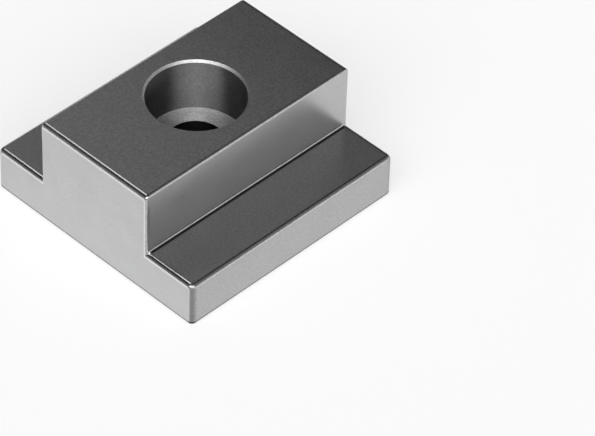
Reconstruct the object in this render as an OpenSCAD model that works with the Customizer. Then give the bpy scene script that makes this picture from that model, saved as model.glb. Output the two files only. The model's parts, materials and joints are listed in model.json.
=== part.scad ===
// T-slot tenon: a steel guide block with a square base, a stem along its middle and a counterbored screw hole.
// The frame has +Z up and its origin under the middle of the base. X runs across the slot and Y along it.

/* [Base] */
// Width of the base, across the slot
base_w = 30; // [24:1:60]
// Height of the base, up to its shoulders
base_h = 5.5; // [4:0.5:15]
// Length of the base and the stem, along the slot
length = 30; // [20:1:80]

/* [Stem] */
// Width of the stem, which fits between the walls of the slot
stem_w = 16; // [14:0.5:22]
// Height of the stem above the shoulders
stem_h = 8; // [4:0.5:20]

/* [Screw seat] */
// Diameter of the counterbore that takes the screw head
seat_d = 11; // [8:0.1:13]
// Depth of the counterbore below the top of the stem
seat_depth = 6.6; // [3:0.1:8]
// Diameter of the through hole that takes the screw shank
bore_d = 6.6; // [3:0.1:7.5]
// Chamfer at the mouth of the counterbore
mouth_chamfer = 0.25; // [0.1:0.05:0.6]
// Chamfer where the through hole leaves the underside
exit_chamfer = 0.3; // [0.1:0.05:0.6]

/* [Edges] */
// Round on the top edges of the base, along the sides and the ends of its shoulders
base_edge_round = 0.65; // [0.1:0.05:0.75]
// Round on the upright corners of the base
base_corner_round = 0.75; // [0.75:0.05:3]
// Round on the bottom edges of the base
bottom_round = 0.3; // [0.1:0.05:0.7]
// Round on the two ends of the stem's top
stem_end_round = 0.7; // [0.5:0.05:2]
// Round on the long top edges and the upright corners of the stem
stem_edge_round = 0.35; // [0.1:0.05:0.5]
// Fillet in the inner corners, where the stem meets the shoulders
inner_fillet = 0.3; // [0.1:0.05:1]

/* [Hidden] */
$fn = 96;
total_h = base_h + stem_h;
// How far a cutting shape runs past the surface that it cuts
overrun = 1;

// What a round of radius r takes off a square corner. The corner is at the origin, with the metal at -X and -Y.
module corner_waste(r) {
    translate([-r, -r]) difference() {
        square(r + overrun);
        circle(r);
    }
}

// A rectangle centred on X that stands on the X axis, with its two lower and its two upper corners rounded.
module rounded_outline(w, h, low_r, high_r) {
    difference() {
        translate([-w / 2, 0]) square([w, h]);
        for (side = [0, 1]) mirror([side, 0]) {
            translate([w / 2, h]) corner_waste(high_r);
            translate([w / 2, 0]) mirror([0, 1]) corner_waste(low_r);
        }
    }
}

// A plate w by l by h on the XY plane, with its upright corners, its lower and its upper edges rounded.
// Two extruded outlines cross in it, and a turned post fills each of its corners.
module rounded_plate(w, l, h, corner_r, low_r, high_r) {
    post_r = max(corner_r, low_r, high_r);
    rotate([90, 0, 0])
        linear_extrude(l - 2 * post_r, center = true)
        rounded_outline(w, h, low_r, high_r);
    rotate([90, 0, 90])
        linear_extrude(w - 2 * post_r, center = true)
        rounded_outline(l, h, low_r, high_r);
    for (x_side = [0, 1], y_side = [0, 1])
        mirror([x_side, 0, 0])
        mirror([0, y_side, 0])
        translate([w / 2 - post_r, l / 2 - post_r, 0])
        rotate_extrude()
        intersection() {
            rounded_outline(2 * post_r, h, low_r, high_r);
            square([post_r, h]);
        }
}

// The base, with the slot's direction along Y.
module base() {
    rounded_plate(base_w, length, base_h, base_corner_round, bottom_round, base_edge_round);
}

// The stem is a plate on edge that runs down through the base.
module stem() {
    translate([-stem_w / 2, 0, total_h / 2])
        rotate([0, 90, 0])
        rounded_plate(total_h, length, stem_w, stem_end_round, stem_edge_round, stem_edge_round);
}

// The fillet along one inner corner, between the rounds at the two ends of the shoulder.
module corner_fillet() {
    translate([stem_w / 2, 0, base_h])
        rotate([90, 0, 0])
        linear_extrude(length - 2 * base_edge_round, center = true)
        difference() {
            translate([-inner_fillet, -inner_fillet]) square(2 * inner_fillet);
            translate([inner_fillet, inner_fillet]) circle(inner_fillet);
        }
}

// The space of the screw: its head's counterbore, its shank's hole and the chamfers at both mouths.
module screw_seat() {
    mouth_run = mouth_chamfer + overrun;
    exit_run = exit_chamfer + overrun;
    translate([0, 0, -overrun]) cylinder(d = bore_d, h = total_h + 2 * overrun);
    translate([0, 0, total_h - seat_depth]) cylinder(d = seat_d, h = seat_depth + overrun);
    translate([0, 0, total_h - mouth_chamfer]) cylinder(d1 = seat_d, d2 = seat_d + 2 * mouth_run, h = mouth_run);
    translate([0, 0, -overrun]) cylinder(d1 = bore_d + 2 * exit_run, d2 = bore_d, h = exit_run);
}

// The whole tenon, one piece of steel.
module tenon() {
    color("gray") difference() {
        union() {
            base();
            stem();
            for (side = [0, 1]) mirror([side, 0, 0]) corner_fillet();
        }
        screw_seat();
    }
}

tenon();
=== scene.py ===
import json
import math

import bpy
from bpy.props import FloatProperty, FloatVectorProperty, IntProperty, PointerProperty
from mathutils import Matrix, Vector


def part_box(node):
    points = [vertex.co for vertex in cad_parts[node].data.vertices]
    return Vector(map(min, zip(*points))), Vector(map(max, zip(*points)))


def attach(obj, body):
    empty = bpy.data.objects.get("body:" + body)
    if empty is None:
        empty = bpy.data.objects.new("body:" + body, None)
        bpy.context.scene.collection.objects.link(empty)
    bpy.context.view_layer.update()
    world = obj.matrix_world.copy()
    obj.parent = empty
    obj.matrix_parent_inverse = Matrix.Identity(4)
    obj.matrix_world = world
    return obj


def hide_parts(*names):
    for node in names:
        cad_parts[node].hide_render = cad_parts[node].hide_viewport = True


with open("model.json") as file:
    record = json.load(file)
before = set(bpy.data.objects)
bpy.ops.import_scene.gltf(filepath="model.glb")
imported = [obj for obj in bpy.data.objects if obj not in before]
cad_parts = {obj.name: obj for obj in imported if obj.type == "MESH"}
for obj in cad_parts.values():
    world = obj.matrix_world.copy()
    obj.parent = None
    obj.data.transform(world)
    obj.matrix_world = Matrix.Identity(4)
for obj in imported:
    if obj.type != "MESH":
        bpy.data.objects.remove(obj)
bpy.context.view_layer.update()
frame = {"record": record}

bl_info = {
    "name": "T-Slot Tenon",
    "version": (1, 0, 0),
    "blender": (4, 5, 0),
    "location": "3D View > Sidebar > Tenon",
    "description": "Makes a steel T-slot tenon and a plain studio to show it in",
    "category": "Object",
}

MM = 0.001

# The frame gives the block's sizes: its box, and the holes and faces that the record names.
BLOCK_LOW, BLOCK_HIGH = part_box("tenon")
BLOCK_SIZE = BLOCK_HIGH - BLOCK_LOW
MOUNTS = {mount["name"]: mount for mount in frame["record"]["mounts"]}
SHOULDER_LEVEL = MOUNTS["shoulder_right"]["pos_m"][2]
STEM_HALF = MOUNTS["stem_side_right"]["pos_m"][0]
SEAT_LEVEL = MOUNTS["seat_floor"]["pos_m"][2]
SEAT_BORE = MOUNTS["screw_head_seat"]["dims"]
SHANK_BORE = MOUNTS["screw_bore"]["dims"]

# How far apart two levels or places are before they count as different.
TOLERANCE = 0.01 * MM

# Corners of the bar's outline, and the distance below which two points are joined into one.
OUTLINE_POINTS = 8
MERGE_DISTANCE = 0.001 * MM

# The cutter of the screw seat: how far it runs past the block, its last ring, the angle between faces at
# which an edge stays sharp, and how far a normal has to point up or down for a chamfer and for a floor.
CUTTER_OVERRUN = 1.0 * MM
LAST_RING = 5
CREASE_ANGLE = math.radians(30)
SLOPING = 0.5
LEVEL = 0.9

# How strongly a large face pulls the normals of the rounds beside it.
FLAT_FACE_WEIGHT = 100

# Patterns of the steel, in cells to a metre.
LINES_ACROSS = 7000
LINES_ALONG = 260
RINGS = 25000
GRAIN_SCALE = 3800.0
GROUND_CLOUD_SCALE = 320.0
CUT_CLOUD_SCALE = 700.0

# Where the finishes of the ground faces, the painted highlight on the ends' rounds and the painted shade in
# the inner corner and along the bottom edge begin and end. The first three count from the block's ends, the
# inner corner's from the stem's side and the bottom's from the underside.
MILLED_SPAN = (0.05 * MM, 0.09 * MM)
PAINTED_HIGHLIGHT_SPAN = (0.002 * MM, 0.02 * MM)
RUBBED_SPAN = (0.55 * MM, 0.7 * MM)
INNER_SHADE_SPAN = (0.3 * MM, 0.45 * MM)
BOTTOM_SHADE_SPAN = (0.28 * MM, 0.42 * MM)

# Where the painted shade in the inner corner starts, how high and low it reaches, where the shoulder's
# finish starts and how deep it goes, and how far below the top the rubbing begins to fade.
INNER_SHADE_START = 0.12 * MM
INNER_SHADE_HEIGHT = 0.15 * MM
SHOULDER_START = 0.2 * MM
SHOULDER_DEPTH = 0.02 * MM
HIGH_REACH = 2.5 * MM

# Painted shade and roughness on the base's upright corners begin this far from its faces and are full this
# near them, in shares of the corner's round.
UPRIGHT_SHADE_FAR = 1.15
UPRIGHT_SHADE_NEAR = 0.2

# How much lighter or darker each mark makes the ground steel, as a share of its tone. Among them are the
# painted highlight and the painted shade in the inner corner, on the upright corners and along the bottom
# edge.
GROUND_TONE = {
    "lines": 0.06, "grain": 0.75, "cloud": 0.12, "milled": 0.14, "painted_highlight": 0.42,
    "corner": -0.85, "blunt_and_shaded": -0.5, "side": 0.02, "low": -0.06, "bottom": -0.8,
}

# How much rougher or smoother each mark makes the ground steel.
GROUND_ROUGHNESS = {
    "lines": 0.1, "cloud": 0.08, "shoulder": 0.08, "side": 0.05, "blunt_and_shaded": 0.3, "rubbed": -0.09,
}

# The share of the grain that is lost on the ends, on the base and on the stem's sides.
GRAIN_LOSS = {"milled": 0.7, "low": 0.5, "side": 0.8}

# The height of the lines against the grain's, the share of the rubbing that is lost near the top, and the
# share of the stem's sides that a thin matt film hides.
LINE_HEIGHT = 0.3
RUBBED_LOSS = 0.5
FILM_SHARE = 0.14

# How much each mark changes the tone and the roughness of the steel in the screw seat.
CUT_TONE = {"rings": 0.25, "cloud": 0.3, "grain": 0.8}
CUT_ROUGHNESS = {"rings": 0.1, "cloud": 0.08}

# The turn, as a share of a circle, that spreads reflections across the rings instead of along them.
ACROSS_RINGS = 0.25

# The floor's mottling, and the share of plain white in what is seen of it.
MOTTLE_SCALE = 8.0
MOTTLE_TONE = 0.01
WHITE_SHARE = 0.6

# The room's level above the floor, and below the horizon, where it is as pale as the floor.
SKY_LEVEL = 0.03
HORIZON_LEVEL = 0.96

# The walls of light round the block. Each has its azimuth, and the angles to its sides at which it is full
# and gone, in degrees, then its strength and its stops, which are a height, as the sine of the elevation,
# and a level there.
SKY_WALLS = {
    "front": {
        "azimuth": 41, "full": 34, "gone": 66, "strength": 4.2,
        "stops": [(0.0, 0.04), (0.26, 0.1), (0.36, 1.0), (0.7, 1.0), (0.8, 0.6), (0.88, 0.0)],
    },
    "right_low": {
        "azimuth": 118, "full": 28, "gone": 44, "strength": 1.0,
        "stops": [(0.0, 1.35), (0.24, 1.35), (0.36, 0.2), (0.42, 0.0)],
    },
    "right_high": {
        "azimuth": 135, "full": 8, "gone": 18, "strength": 1.0,
        "stops": [(0.4, 0.0), (0.52, 0.25), (0.74, 0.28), (0.82, 0.0)],
    },
    "back_right": {
        "azimuth": 168, "full": 20, "gone": 32, "strength": 1.0,
        "stops": [(0.0, 0.9), (0.22, 0.9), (0.32, 0.0)],
    },
    "back": {
        "azimuth": 200, "full": 25, "gone": 60, "strength": 1.0,
        "stops": [(0.0, 0.03), (0.62, 0.0), (0.72, 0.05), (0.8, 0.0)],
    },
    "left_back": {
        "azimuth": 252, "full": 14, "gone": 34, "strength": 1.0,
        "stops": [(0.0, 0.165), (0.7, 0.165), (0.78, 0.0)],
    },
    "left": {
        "azimuth": 322, "full": 10, "gone": 22, "strength": 1.0,
        "stops": [(0.0, 1.6), (0.05, 1.5), (0.14, 0.3), (0.5, 0.16), (0.62, 0.03), (0.8, 0.0)],
    },
}

# Where each lamp stands: its direction from the block, the line of its long side, and its distance.
KEY_PLACE = {"direction": (0.325, -0.338, 0.883), "along": (1.0, 1.0, 0.0), "distance": 1.0}
STRIP_PLACE = {"direction": (-0.51, -0.07, 0.857), "along": (0.0, -1.0, -0.08), "distance": 0.5}
PANEL_PLACE = {"direction": (-0.409, 0.426, 0.808), "along": (1.0, 0.0, 0.0), "distance": 0.235}

# Length and width of the two flat lamps.
STRIP_SIZE = (0.16, 0.11)
PANEL_SIZE = (0.22, 0.075)

# The camera's sensor, in millimetres, and the nearest distance that it shows, in metres.
SENSOR_WIDTH = 36.0
NEAREST_SEEN = 0.01


class Wire:
    """An output of a node, on which sums are written as plain expressions."""

    def __init__(self, tree, socket=None):
        self.tree = tree
        self.socket = socket

    def node(self, kind, settings=None, inputs=None, output=0):
        """Adds a node with its settings, then its input values or links, and gives one of its outputs."""
        made = self.tree.nodes.new(kind)
        for name, value in (settings or {}).items():
            if name == "stops":
                self.set_stops(made.color_ramp, value)
            else:
                setattr(made, name, value)
        for key, value in (inputs or {}).items():
            for item in value if isinstance(value, list) else [value]:
                if isinstance(item, Wire):
                    self.tree.links.new(item.socket, made.inputs[key])
                else:
                    made.inputs[key].default_value = item
        return Wire(self.tree, made.outputs[output]) if made.outputs else made

    @staticmethod
    def set_stops(ramp, stops):
        """Gives a colour ramp its stops, each a place and a grey level."""
        while len(ramp.elements) < len(stops):
            ramp.elements.new(1.0)
        for element, (place, grey) in zip(ramp.elements, stops):
            element.position = place
            element.color = (grey, grey, grey, 1.0)

    def output(self, name):
        """Another output of the node that this one belongs to."""
        return Wire(self.tree, self.socket.node.outputs[name])

    def math(self, operation, first, second=0.0):
        """The result of a Math node on two values."""
        return self.node("ShaderNodeMath", {"operation": operation}, {0: first, 1: second})

    def __add__(self, other):
        return self.math("ADD", self, other)

    def __radd__(self, other):
        return self.math("ADD", other, self)

    def __sub__(self, other):
        return self.math("SUBTRACT", self, other)

    def __rsub__(self, other):
        return self.math("SUBTRACT", other, self)

    def __mul__(self, other):
        return self.math("MULTIPLY", self, other)

    def __rmul__(self, other):
        return self.math("MULTIPLY", other, self)

    def __truediv__(self, other):
        return self.math("DIVIDE", self, other)

    def __pow__(self, other):
        return self.math("POWER", self, other)

    def __gt__(self, other):
        return self.math("GREATER_THAN", self, other)

    def __lt__(self, other):
        return self.math("LESS_THAN", self, other)

    def __abs__(self):
        return self.math("ABSOLUTE", self)

    def axes(self):
        """The three parts of a vector."""
        parts = self.node("ShaderNodeSeparateXYZ", None, {0: self})
        return parts, parts.output("Y"), parts.output("Z")

    def vector(self, x, y, z):
        """A vector of three values."""
        return self.node("ShaderNodeCombineXYZ", None, {0: x, 1: y, 2: z})

    def fade(self, low, high):
        """A smooth step from 0 at low to 1 at high."""
        steps = {"interpolation_type": "SMOOTHSTEP"}
        return self.node("ShaderNodeMapRange", steps, {"Value": self, "From Min": low, "From Max": high})

    def noise(self, scale, detail):
        """Noise over this place, about 0."""
        pattern = {"Vector": self, "Scale": scale, "Detail": detail}
        return self.node("ShaderNodeTexNoise", None, pattern) - 0.5


class TenonSizes(bpy.types.PropertyGroup):
    """Sizes of the block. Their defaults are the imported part's."""

    base_width: FloatProperty(
        name="Base width", description="Width of the base, across the slot",
        default=BLOCK_SIZE.x, unit="LENGTH", precision=5)
    base_height: FloatProperty(
        name="Base height", description="Height of the base, up to its shoulders",
        default=SHOULDER_LEVEL, unit="LENGTH", precision=5)
    length: FloatProperty(
        name="Length", description="Length of the base and the stem, along the slot",
        default=BLOCK_SIZE.y, unit="LENGTH", precision=5)
    stem_width: FloatProperty(
        name="Stem width", description="Width of the stem, between the walls of the slot",
        default=2 * STEM_HALF, unit="LENGTH", precision=5)
    total_height: FloatProperty(
        name="Total height", description="Height from the underside to the top of the stem",
        default=BLOCK_SIZE.z, unit="LENGTH", precision=5)
    seat_radius: FloatProperty(
        name="Seat radius", description="Radius of the counterbore that takes the screw head",
        default=SEAT_BORE["r_mm"] * MM, unit="LENGTH", precision=5)
    seat_level: FloatProperty(
        name="Seat level", description="Height of the counterbore's floor above the underside",
        default=SEAT_LEVEL, unit="LENGTH", precision=5)
    bore_radius: FloatProperty(
        name="Bore radius", description="Radius of the hole that takes the screw shank",
        default=SHANK_BORE["r_mm"] * MM, unit="LENGTH", precision=5)
    mouth_chamfer: FloatProperty(
        name="Mouth chamfer", description="Chamfer at the mouth of the counterbore",
        default=BLOCK_SIZE.z - SEAT_LEVEL - SEAT_BORE["length_mm"] * MM, unit="LENGTH", precision=5)
    exit_chamfer: FloatProperty(
        name="Exit chamfer", description="Chamfer where the hole leaves the underside",
        default=SEAT_LEVEL - SHANK_BORE["length_mm"] * MM, unit="LENGTH", precision=5)
    base_edge_round: FloatProperty(
        name="Base edge round", description="Round on the top edges of the base",
        default=0.65 * MM, unit="LENGTH", precision=5)
    base_corner_round: FloatProperty(
        name="Base corner round", description="Round on the upright corners of the base",
        default=0.75 * MM, unit="LENGTH", precision=5)
    bottom_round: FloatProperty(
        name="Bottom round", description="Round on the bottom edges of the base",
        default=0.3 * MM, unit="LENGTH", precision=5)
    stem_end_round: FloatProperty(
        name="Stem end round", description="Round on the two ends of the stem's top",
        default=0.7 * MM, unit="LENGTH", precision=5)
    stem_edge_round: FloatProperty(
        name="Stem edge round", description="Round on the stem's long top edges and upright corners",
        default=0.35 * MM, unit="LENGTH", precision=5)
    inner_fillet: FloatProperty(
        name="Inner fillet", description="Fillet where the stem meets the shoulders",
        default=0.3 * MM, unit="LENGTH", precision=5)
    round_steps: IntProperty(
        name="Round steps", description="Faces across each rounded edge", default=8, min=2, max=16)
    bore_steps: IntProperty(
        name="Bore steps", description="Faces round each bore", default=192, min=48, max=384)


class SteelFinish(bpy.types.PropertyGroup):
    """Colour and polish of the steel."""

    steel_colour: FloatVectorProperty(
        name="Steel colour", description="Colour of the bare steel",
        default=(0.445, 0.445, 0.45), subtype="COLOR", min=0.0, max=1.0)
    ground_roughness: FloatProperty(
        name="Ground roughness", description="Roughness of the ground faces",
        default=0.24, subtype="FACTOR", min=0.0, max=1.0)
    line_depth: FloatProperty(
        name="Line depth", description="Depth of the grinding marks",
        default=0.005 * MM, unit="LENGTH", precision=6)
    ring_depth: FloatProperty(
        name="Ring depth", description="Depth of the turning marks in the screw seat",
        default=0.005 * MM, unit="LENGTH", precision=6)


class StudioLook(bpy.types.PropertyGroup):
    """Floor, lights and camera of the studio."""

    floor_colour: FloatVectorProperty(
        name="Floor colour", description="Colour of the floor",
        default=(0.96, 0.96, 0.96), subtype="COLOR", min=0.0, max=1.0)
    floor_size: FloatProperty(
        name="Floor size", description="Width of the floor", default=4.0, unit="LENGTH")
    key_strength: FloatProperty(
        name="Key strength", description="Strength of the key light, high in front", default=0.44)
    key_angle: FloatProperty(
        name="Key spread", description="Angle that the key light fills", default=math.radians(18),
        subtype="ANGLE")
    strip_power: FloatProperty(
        name="Strip power", description="Power of the strip light at the left", default=0.095, unit="POWER")
    panel_power: FloatProperty(
        name="Panel power", description="Power of the dim panel at the back", default=0.007, unit="POWER")
    camera_azimuth: FloatProperty(
        name="Camera azimuth", description="How far the camera stands round to the right of the front",
        default=math.radians(43.554), subtype="ANGLE")
    camera_elevation: FloatProperty(
        name="Camera elevation", description="How high the camera stands above the floor",
        default=math.radians(42.95), subtype="ANGLE")
    camera_roll: FloatProperty(
        name="Camera roll", description="How far the camera leans to its side",
        default=math.radians(2.024), subtype="ANGLE")
    camera_distance: FloatProperty(
        name="Camera distance", description="Distance from the camera to the block", default=0.4536,
        unit="LENGTH", precision=4)
    camera_lens: FloatProperty(
        name="Camera lens", description="Focal length of the lens, in millimetres", default=254.26)
    aim_right: FloatProperty(
        name="Aim to the right", description="How far right of the block the camera aims",
        default=11.055 * MM, unit="LENGTH", precision=5)
    aim_down: FloatProperty(
        name="Aim down", description="How far below the block's middle the camera aims",
        default=3.144 * MM, unit="LENGTH", precision=5)


def new_tree(name, inputs):
    """A Geometry Nodes tree with a geometry in and out and the named inputs. Gives it and its inputs."""
    tree = bpy.data.node_groups.new(name, "GeometryNodeTree")
    tree.interface.new_socket("Geometry", in_out="INPUT", socket_type="NodeSocketGeometry")
    for label, kind in inputs.items():
        tree.interface.new_socket(label, in_out="INPUT", socket_type=kind)
    tree.interface.new_socket("Geometry", in_out="OUTPUT", socket_type="NodeSocketGeometry")
    start = Wire(tree).node("NodeGroupInput")
    return tree, start


def end_tree(geometry):
    """Joins the last geometry to the tree's output."""
    geometry.node("NodeGroupOutput", None, {"Geometry": geometry})


def add_tree(obj, tree, values):
    """Puts a Geometry Nodes tree on an object, with its input values set by their identifiers."""
    modifier = obj.modifiers.new(tree.name, "NODES")
    modifier.node_group = tree
    sockets = {item.name: item.identifier for item in tree.interface.items_tree if item.in_out == "INPUT"}
    for label, value in values.items():
        modifier[sockets[label]] = value


def edge_rounds(start, width):
    """The radius of the round on each straight edge of the bar, told from where the edge lies and runs."""
    ends = start.node("GeometryNodeInputMeshEdgeVertices", None, None, "Position 1")
    x1, y1, z1 = ends.axes()
    x2, y2, z2 = ends.output("Position 2").axes()
    across = abs(x1 - x2) > TOLERANCE
    along = abs(y1 - y2) > TOLERANCE
    upright = abs(z1 - z2) > TOLERANCE
    level = (z1 + z2) / 2
    wide = abs(x1 + x2) / 2 > width / 2 + TOLERANCE
    top = level > start.output("Base Height") + TOLERANCE
    bottom = level < TOLERANCE
    shoulder = 1 - top - bottom
    base_edge = start.output("Base Edge Round")
    stem_edge = start.output("Stem Edge Round")
    low_edge = bottom * start.output("Bottom Round")
    inner = wide * base_edge + (1 - wide) * start.output("Inner Fillet")
    across_round = top * start.output("Stem End Round") + shoulder * base_edge + low_edge
    along_round = top * stem_edge + shoulder * inner + low_edge
    upright_round = wide * start.output("Base Corner Round") + (1 - wide) * stem_edge
    return across * across_round + along * along_round + upright * upright_round


def bar_tree():
    """The block as a plain T bar: an outline of eight points, filled, drawn out along the slot, with each
    edge weighted by the round that it takes."""
    labels = ["Base Width", "Base Height", "Stem Width", "Total Height", "Length", "Largest Round"]
    labels += ["Base Edge Round", "Base Corner Round", "Bottom Round", "Stem End Round"]
    labels += ["Stem Edge Round", "Inner Fillet"]
    inputs = {label: "NodeSocketFloat" for label in labels}
    inputs["Steel"] = "NodeSocketMaterial"
    tree, start = new_tree("tenon_bar", inputs)
    base_height = start.output("Base Height")
    length = start.output("Length")
    stem_half = start.output("Stem Width") / 2
    base_half = start.output("Base Width") / 2

    # Points 0 to 3 climb the right side, and points 4 to 7 come down the left side. On either side, steps 0
    # and 1 are on the base, steps 1 and 2 at its shoulder and step 3 at the top.
    middle = (OUTLINE_POINTS - 1) / 2
    point = start.node("GeometryNodeInputIndex")
    step = middle - abs(point - middle)
    side = start.math("SIGN", middle - point)
    on_base = step < 1.5
    raised = step > 0.5
    on_top = step > 2.5
    x = side * (stem_half + on_base * (base_half - stem_half))
    z = raised * base_height + on_top * (start.output("Total Height") - base_height)
    line = start.node("GeometryNodeMeshLine", None, {"Count": OUTLINE_POINTS})
    placed = {"Geometry": line, "Position": start.vector(x, z, 0.0)}
    line = start.node("GeometryNodeSetPosition", None, placed)
    outline = start.node("GeometryNodeMeshToCurve", None, {"Mesh": line})
    outline = start.node("GeometryNodeSetSplineCyclic", None, {"Geometry": outline, "Cyclic": True})
    end = start.node("GeometryNodeFillCurve", {"mode": "NGONS"}, {"Curve": outline})

    # The outline lies flat, so the bar is drawn out upwards and then laid down along the slot.
    run = start.vector(0.0, 0.0, length)
    bar = start.node("GeometryNodeExtrudeMesh", None, {"Mesh": end, "Offset": run, "Individual": False})
    far_end = start.node("GeometryNodeFlipFaces", None, {"Mesh": end})
    bar = start.node("GeometryNodeJoinGeometry", None, {"Geometry": [bar, far_end]})
    bar = start.node("GeometryNodeMergeByDistance", None, {"Geometry": bar, "Distance": MERGE_DISTANCE})
    laid = {
        "Geometry": bar,
        "Translation": start.vector(0.0, length / 2, 0.0),
        "Rotation": (math.pi / 2, 0.0, 0.0),
    }
    bar = start.node("GeometryNodeTransform", None, laid)
    weight = edge_rounds(start, start.output("Stem Width")) / start.output("Largest Round")
    stored = {"Geometry": bar, "Name": "bevel_weight_edge", "Value": weight}
    bar = start.node("GeometryNodeStoreNamedAttribute", {"data_type": "FLOAT", "domain": "EDGE"}, stored)
    bar = start.node("GeometryNodeRealizeInstances", None, {"Geometry": bar})
    bar = start.node("GeometryNodeSetMaterial", None, {"Geometry": bar, "Material": start.output("Steel")})
    end_tree(bar)
    return tree


def seat_tree():
    """Cuts the screw seat with one turned cutter: six rings of a cylinder, each at its radius and level."""
    labels = ["Total Height", "Seat Radius", "Seat Level", "Bore Radius", "Mouth Chamfer", "Exit Chamfer"]
    inputs = {label: "NodeSocketFloat" for label in labels}
    inputs["Steps"] = "NodeSocketInt"
    for label in ("Bored Steel Painted Shade", "Drilled Steel Painted Shadow", "Faced Steel Painted Light", "Chamfered Steel"):
        inputs[label] = "NodeSocketMaterial"
    tree, start = new_tree("screw_seat", inputs)
    top = start.output("Total Height")
    seat = start.output("Seat Radius")
    floor = start.output("Seat Level")
    bore = start.output("Bore Radius")
    mouth = start.output("Mouth Chamfer")
    leave = start.output("Exit Chamfer")

    # Ring 0 is below the underside and ring 5 above the top, both on the slopes of the chamfers. Rings 1 and
    # 2 are the ends of the shank's hole, and rings 3 and 4 those of the counterbore.
    rings = {"Vertices": start.output("Steps"), "Side Segments": LAST_RING, "Radius": 1.0, "Depth": 1.0}
    cutter = start.node("GeometryNodeMeshCylinder", {"fill_type": "NGON"}, rings)
    x, y, z = start.node("GeometryNodeInputPosition").axes()
    ring = (z + 0.5) * LAST_RING
    lowest = ring < 0.5
    highest = ring > 4.5
    radius = bore + lowest * (leave + CUTTER_OVERRUN) + (ring > 2.5) * (seat - bore)
    radius = radius + highest * (mouth + CUTTER_OVERRUN)
    level = lowest * (-CUTTER_OVERRUN) + (ring > 0.5) * leave + (ring > 1.5) * (floor - leave)
    level = level + (ring > 3.5) * (top - mouth - floor) + highest * (mouth + CUTTER_OVERRUN)
    turned = start.vector(x * radius, y * radius, level)
    cutter = start.node("GeometryNodeSetPosition", None, {"Geometry": cutter, "Position": turned})
    marked = {"Geometry": cutter, "Name": "in_seat", "Value": 1.0}
    cutter = start.node("GeometryNodeStoreNamedAttribute", {"data_type": "FLOAT", "domain": "FACE"}, marked)

    cut = {"operation": "DIFFERENCE", "solver": "EXACT"}
    block = start.node("GeometryNodeMeshBoolean", cut, {"Mesh 1": start, "Mesh 2": [cutter]})
    angle = start.node("GeometryNodeInputMeshEdgeAngle")
    smooth = {"Geometry": block, "Shade Smooth": True}
    block = start.node("GeometryNodeSetShadeSmooth", {"domain": "FACE"}, smooth)
    sharp = {"Geometry": block, "Selection": angle > CREASE_ANGLE, "Shade Smooth": False}
    block = start.node("GeometryNodeSetShadeSmooth", {"domain": "EDGE"}, sharp)
    block = start.node("GeometryNodeRealizeInstances", None, {"Geometry": block})

    # The wall's finish goes on every cut face, and the finishes after it take their own faces over.
    in_seat = start.node("GeometryNodeInputNamedAttribute", {"data_type": "FLOAT"}, {"Name": "in_seat"})
    slope = abs(start.node("GeometryNodeInputNormal").axes()[2])
    finishes = {
        "Bored Steel Painted Shade": 1.0,
        "Drilled Steel Painted Shadow": z < floor - TOLERANCE,
        "Chamfered Steel": slope > SLOPING,
        "Faced Steel Painted Light": slope > LEVEL,
    }
    for label, where in finishes.items():
        cut_faces = {"Geometry": block, "Selection": in_seat * where > 0.5, "Material": start.output(label)}
        block = start.node("GeometryNodeSetMaterial", None, cut_faces)
    end_tree(block)
    return tree


def steel_shader(name):
    """A new material with a metal shader. Gives the material, its shader and the object's coordinates."""
    material = bpy.data.materials.new(name)
    material.use_nodes = True
    shader = material.node_tree.nodes["Principled BSDF"]
    shader.inputs["Metallic"].default_value = 1.0
    place = Wire(material.node_tree).node("ShaderNodeTexCoord", None, None, "Object")
    return material, shader, place


def tinted(place, colour, shade):
    """A colour, made lighter or darker by a factor."""
    lift = {"operation": "SCALE"}
    return place.node("ShaderNodeVectorMath", lift, {0: tuple(colour), "Scale": shade})


def join_shader(shader, colour, roughness, height, depth):
    """Links what varies over the surface to the shader."""
    bump = height.node("ShaderNodeBump", None, {"Strength": 1.0, "Distance": depth, "Height": height})
    links = height.tree.links
    links.new(colour.socket, shader.inputs["Base Color"])
    links.new(roughness.socket, shader.inputs["Roughness"])
    links.new(bump.socket, shader.inputs["Normal"])


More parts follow.
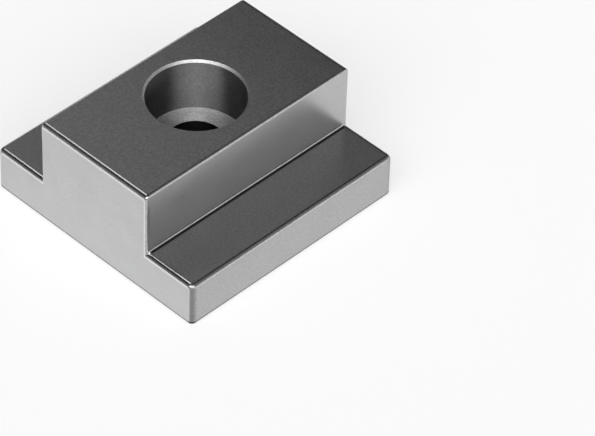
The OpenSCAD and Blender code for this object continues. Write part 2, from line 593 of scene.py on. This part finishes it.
def ground_steel(finish, sizes):
    """Steel ground along the slot: fine lines that run with the length, a fine grain and a faint cloudiness.
    The ends are milled and paler, with a painted highlight where they turn into their rounds, which are
    rubbed smoother. The base's upright corners are blunt and carry painted shade, the inner corners and the
    bottom edge carry painted shade, and the stem's sides have a matt film."""
    material, shader, place = steel_shader("ground_steel")
    x, y, z = place.axes()
    lines = place.vector(x * LINES_ACROSS, y * LINES_ALONG, z * LINES_ACROSS).noise(scale=1.0, detail=3.0)
    grain = place.noise(GRAIN_SCALE, detail=3.0)
    cloud = place.noise(GROUND_CLOUD_SCALE, detail=4.0)

    # The ends and their rounds, with a painted highlight
    from_end = sizes.length / 2 - abs(y)
    milled = 1 - from_end.fade(*MILLED_SPAN)
    # Painted highlight: a paler band on the rounds, just short of the end faces.
    painted_highlight = milled * from_end.fade(*PAINTED_HIGHLIGHT_SPAN)
    high = z.fade(sizes.total_height - HIGH_REACH, sizes.total_height - sizes.stem_end_round)
    rubbed = (1 - from_end.fade(*RUBBED_SPAN)) * (1 - high * RUBBED_LOSS)

    # The shoulders, the stem's sides and the corners between them, with painted shade in the corners
    from_stem = abs(x) - sizes.stem_width / 2
    shoulder = (from_stem > SHOULDER_START) * (z > sizes.base_height - SHOULDER_DEPTH)
    side = (from_stem > -TOLERANCE) * (z > sizes.base_height + sizes.inner_fillet)
    # Painted shade: a dark line on the shoulder, along the inner corner at the stem's foot.
    foot = (abs(z - sizes.base_height) < INNER_SHADE_HEIGHT) * (from_end > sizes.base_edge_round)
    corner = (1 - from_stem.fade(*INNER_SHADE_SPAN)) * (from_stem > INNER_SHADE_START) * foot

    # The base: its upright corners and its bottom edge, both with painted shade, and its sides
    near = UPRIGHT_SHADE_NEAR * sizes.base_corner_round
    far = UPRIGHT_SHADE_FAR * sizes.base_corner_round
    edge = sizes.base_width / 2
    # Painted shade on the base's upright corners, which are also made rougher.
    blunt_and_shaded = abs(x).fade(edge - far, edge - near) * (1 - from_end.fade(near, far))
    low = 1 - z.fade(sizes.base_height - sizes.base_edge_round, sizes.base_height)
    # Painted shade: a dark line along the bottom edge, where the floor's shadow would fall.
    bottom = 1 - z.fade(*BOTTOM_SHADE_SPAN)

    lines = lines * (1 - milled) * (1 - side)
    grain = grain * (1 - milled * GRAIN_LOSS["milled"]) * (1 - low * GRAIN_LOSS["low"])
    grain = grain * (1 - side * GRAIN_LOSS["side"])
    tone = GROUND_TONE
    shade = 1 + lines * tone["lines"] + grain * tone["grain"] + cloud * tone["cloud"]
    shade = shade * (1 + milled * tone["milled"] + painted_highlight * tone["painted_highlight"])
    shade = shade * (1 + corner * tone["corner"]) * (1 + blunt_and_shaded * tone["blunt_and_shaded"]) * (1 + side * tone["side"])
    shade = shade * (1 + low * (1 - milled) * tone["low"]) * (1 + bottom * tone["bottom"])
    rough = GROUND_ROUGHNESS
    roughness = finish.ground_roughness + lines * rough["lines"] + cloud * rough["cloud"]
    roughness = roughness + shoulder * rough["shoulder"] + side * rough["side"]
    roughness = roughness + blunt_and_shaded * rough["blunt_and_shaded"] + rubbed * rough["rubbed"]
    height = lines * LINE_HEIGHT + grain
    metal = 1 - side * FILM_SHARE
    material.node_tree.links.new(metal.socket, shader.inputs["Metallic"])
    join_shader(shader, tinted(place, finish.steel_colour, shade), roughness, height, finish.line_depth)
    return material


def cut_steel(name, finish, tone, roughness, spread):
    """Steel cut by a turning tool. Its rings run round the screw's axis and spread reflections."""
    material, shader, place = steel_shader(name)
    x, y, z = place.axes()
    radius = (x * x + y * y) ** 0.5
    rings = place.vector(radius * RINGS, z * RINGS, 0.0).noise(scale=1.0, detail=2.0)
    cloud = place.noise(CUT_CLOUD_SCALE, detail=3.0)
    grain = place.noise(GRAIN_SCALE, detail=3.0)
    shade = 1 + rings * CUT_TONE["rings"] + cloud * CUT_TONE["cloud"] + grain * CUT_TONE["grain"]
    shader.inputs["Anisotropic"].default_value = spread
    shader.inputs["Anisotropic Rotation"].default_value = ACROSS_RINGS
    rough = roughness + rings * CUT_ROUGHNESS["rings"] + cloud * CUT_ROUGHNESS["cloud"]
    # The tone makes the whole face lighter or darker: in the screw seat it paints shade on the walls and
    # light on the floor.
    join_shader(shader, tinted(place, finish.steel_colour, shade * tone), rough, rings, finish.ring_depth)
    return material


def studio_material(colour):
    """The floor's pale, matt surface, with a very faint mottling.
    What is seen of it, also in the steel, is partly plain white, so that the shadow on it stays faint."""
    material = bpy.data.materials.new("studio_floor")
    material.use_nodes = True
    material.cycles.emission_sampling = "NONE"
    tree = material.node_tree
    shader = tree.nodes["Principled BSDF"]
    shader.inputs["Roughness"].default_value = 1.0
    shader.inputs["Specular IOR Level"].default_value = 0.0
    place = Wire(tree).node("ShaderNodeTexCoord", None, None, "Object")
    shaded = tinted(place, colour, 1 + place.noise(MOTTLE_SCALE, detail=2.0) * MOTTLE_TONE)
    tree.links.new(shaded.socket, shader.inputs["Base Color"])
    camera_ray = place.node("ShaderNodeLightPath", None, None, "Is Camera Ray")
    seen = camera_ray + camera_ray.output("Is Glossy Ray") + camera_ray.output("Is Transmission Ray")
    white = place.node("ShaderNodeEmission", None, {"Color": (1.0, 1.0, 1.0, 1.0), "Strength": 1.0})
    matt = Wire(tree, shader.outputs[0])
    mixed = place.node("ShaderNodeMixShader", None, {0: seen * WHITE_SHARE, 1: matt, 2: white})
    tree.links.new(mixed.socket, tree.nodes["Material Output"].inputs["Surface"])
    return material


class TENON_OT_make_block(bpy.types.Operator):
    """Makes the steel block, with its rounded edges and its screw seat"""

    bl_idname = "tenon.make_block"
    bl_label = "Make block"

    def execute(self, context):
        sizes = context.scene.tenon_sizes
        finish = context.scene.tenon_finish
        rounds = {
            "Base Edge Round": sizes.base_edge_round,
            "Base Corner Round": sizes.base_corner_round,
            "Bottom Round": sizes.bottom_round,
            "Stem End Round": sizes.stem_end_round,
            "Stem Edge Round": sizes.stem_edge_round,
            "Inner Fillet": sizes.inner_fillet,
        }
        largest = max(rounds.values())
        raw = bpy.data.objects.new("raw_block", bpy.data.meshes.new("raw_block"))
        context.scene.collection.objects.link(raw)
        bar = {
            "Base Width": sizes.base_width,
            "Base Height": sizes.base_height,
            "Stem Width": sizes.stem_width,
            "Total Height": sizes.total_height,
            "Length": sizes.length,
            "Largest Round": largest,
            "Steel": ground_steel(finish, sizes),
        }
        add_tree(raw, bar_tree(), bar | rounds)
        bevel = raw.modifiers.new("edge_rounds", "BEVEL")
        bevel.limit_method = "WEIGHT"
        bevel.width = largest
        bevel.segments = sizes.round_steps
        seat = {
            "Total Height": sizes.total_height,
            "Seat Radius": sizes.seat_radius,
            "Seat Level": sizes.seat_level,
            "Bore Radius": sizes.bore_radius,
            "Mouth Chamfer": sizes.mouth_chamfer,
            "Exit Chamfer": sizes.exit_chamfer,
            "Steps": sizes.bore_steps,
            # Painted shade: the counterbore's wall is made darker than the steel.
            "Bored Steel Painted Shade": cut_steel("bored_steel_painted_shade", finish, tone=0.39, roughness=0.58, spread=1.0),
            # Painted shadow: the through hole's wall is made nearly black.
            "Drilled Steel Painted Shadow": cut_steel("drilled_steel_painted_shadow", finish, tone=0.02, roughness=0.55, spread=0.95),
            # Painted light: the seat's floor is made paler than the steel.
            "Faced Steel Painted Light": cut_steel("faced_steel_painted_light", finish, tone=2.0, roughness=0.55, spread=0.6),
            "Chamfered Steel": cut_steel("chamfered_steel", finish, tone=0.95, roughness=0.5, spread=0.0),
        }
        add_tree(raw, seat_tree(), seat)
        weighted = raw.modifiers.new("flat_faces", "WEIGHTED_NORMAL")
        weighted.keep_sharp = True
        weighted.weight = FLAT_FACE_WEIGHT

        depsgraph = context.evaluated_depsgraph_get()
        mesh = bpy.data.meshes.new_from_object(
            raw.evaluated_get(depsgraph), preserve_all_data_layers=True, depsgraph=depsgraph)
        if not mesh.polygons:
            raise RuntimeError("the block has no faces")
        bpy.data.objects.remove(raw)
        mesh.name = "tenon_block"
        block = bpy.data.objects.new("tenon_block", mesh)
        context.scene.collection.objects.link(block)
        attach(block, "root")
        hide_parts("tenon")
        return {"FINISHED"}


class TENON_OT_set_studio(bpy.types.Operator):
    """Sets up the floor, the lights and the camera"""

    bl_idname = "tenon.set_studio"
    bl_label = "Set studio"

    def execute(self, context):
        look = context.scene.tenon_studio
        self.add_floor(context, look)
        self.add_sky(context)
        self.add_lights(context, look)
        self.add_camera(context, look)
        context.scene.view_settings.view_transform = "Standard"
        return {"FINISHED"}

    @staticmethod
    def add_floor(context, look):
        """Lays the floor under the block."""
        half = look.floor_size / 2
        corners = [(-half, -half, 0.0), (half, -half, 0.0), (half, half, 0.0), (-half, half, 0.0)]
        mesh = bpy.data.meshes.new("floor")
        mesh.from_pydata(corners, [], [(0, 1, 2, 3)])
        mesh.materials.append(studio_material(look.floor_colour))
        floor = bpy.data.objects.new("floor", mesh)
        context.scene.collection.objects.link(floor)

    @staticmethod
    def add_sky(context):
        """A dim room with soft walls of light: a strong one in front, low ones at the right and the left,
        and dim ones at the back."""
        world = bpy.data.worlds.new("studio_sky")
        world.use_nodes = True
        tree = world.node_tree
        place = Wire(tree).node("ShaderNodeTexCoord", None, None, "Generated")
        x, y, z = place.axes()
        flat = (x * x + y * y) ** 0.5
        sky = SKY_LEVEL
        for wall in SKY_WALLS.values():
            turn = math.radians(wall["azimuth"])
            facing = (x * math.sin(turn) - y * math.cos(turn)) / flat
            spread = facing.fade(math.cos(math.radians(wall["gone"])), math.cos(math.radians(wall["full"])))
            level = place.node("ShaderNodeValToRGB", {"stops": wall["stops"]}, {0: z})
            sky = sky + wall["strength"] * (spread * level)
        below = z < 0
        light = below * HORIZON_LEVEL + (1 - below) * sky
        tree.links.new(light.socket, tree.nodes["Background"].inputs["Color"])
        context.scene.world = world

    @staticmethod
    def add_light(context, light, direction, along, distance):
        """Places a light in a direction from the block, turned to it, with its long side along a line."""
        away = Vector(direction).normalized()
        side = Vector(along)
        side = (side - away * side.dot(away)).normalized()
        turn = Matrix((side, away.cross(side), away)).transposed().to_4x4()
        lamp = bpy.data.objects.new(light.name, light)
        lamp.matrix_world = Matrix.Translation(away * distance) @ turn
        context.scene.collection.objects.link(lamp)

    def add_flat_light(self, context, name, power, size, place):
        """A flat lamp of a length and a width."""
        light = bpy.data.lights.new(name, "AREA")
        light.shape = "RECTANGLE"
        light.energy = power
        light.size, light.size_y = size
        self.add_light(context, light, **place)

    def add_lights(self, context, look):
        """The key light high in front, a strip above the left side and a dim panel at the back."""
        key = bpy.data.lights.new("key_light", "SUN")
        key.energy = look.key_strength
        key.angle = look.key_angle
        self.add_light(context, key, **KEY_PLACE)
        self.add_flat_light(context, "strip_light", look.strip_power, STRIP_SIZE, STRIP_PLACE)
        self.add_flat_light(context, "panel_light", look.panel_power, PANEL_SIZE, PANEL_PLACE)

    @staticmethod
    def add_camera(context, look):
        """Stands the camera where the photograph's edges put it."""
        azimuth = look.camera_azimuth
        elevation = look.camera_elevation
        level = math.cos(elevation)
        back = Vector((math.sin(azimuth) * level, -math.cos(azimuth) * level, math.sin(elevation)))
        right = Vector((math.cos(azimuth), math.sin(azimuth), 0.0))
        up = back.cross(right)
        lean_cos = math.cos(look.camera_roll)
        lean_sin = math.sin(look.camera_roll)
        image_x = right * lean_cos + up * lean_sin
        image_y = up * lean_cos - right * lean_sin
        data = bpy.data.cameras.new("camera")
        data.sensor_width = SENSOR_WIDTH
        data.lens = look.camera_lens
        data.clip_start = NEAREST_SEEN
        camera = bpy.data.objects.new("camera", data)
        turn = Matrix((image_x, image_y, back)).transposed().to_4x4()
        place = back * look.camera_distance + image_x * look.aim_right - image_y * look.aim_down
        camera.matrix_world = Matrix.Translation(place) @ turn
        context.scene.collection.objects.link(camera)
        context.scene.camera = camera


class VIEW3D_PT_tenon(bpy.types.Panel):
    """Lists the tenon's sizes, finish and studio, with the steps that make them"""

    bl_idname = "VIEW3D_PT_tenon"
    bl_label = "T-Slot Tenon"
    bl_space_type = "VIEW_3D"
    bl_region_type = "UI"
    bl_category = "Tenon"

    def draw(self, context):
        scene = context.scene
        for group in (scene.tenon_sizes, scene.tenon_finish, scene.tenon_studio):
            box = self.layout.box()
            for name in group.__annotations__:
                box.prop(group, name)
        self.layout.operator(TENON_OT_make_block.bl_idname)
        self.layout.operator(TENON_OT_set_studio.bl_idname)


CLASSES = (TenonSizes, SteelFinish, StudioLook, TENON_OT_make_block, TENON_OT_set_studio, VIEW3D_PT_tenon)


def register():
    for cls in CLASSES:
        bpy.utils.register_class(cls)
    bpy.types.Scene.tenon_sizes = PointerProperty(type=TenonSizes)
    bpy.types.Scene.tenon_finish = PointerProperty(type=SteelFinish)
    bpy.types.Scene.tenon_studio = PointerProperty(type=StudioLook)


def unregister():
    del bpy.types.Scene.tenon_studio
    del bpy.types.Scene.tenon_finish
    del bpy.types.Scene.tenon_sizes
    for cls in reversed(CLASSES):
        bpy.utils.unregister_class(cls)


def main():
    register()
    bpy.ops.tenon.make_block()
    bpy.ops.tenon.set_studio()


if __name__ == "__main__":
    main()
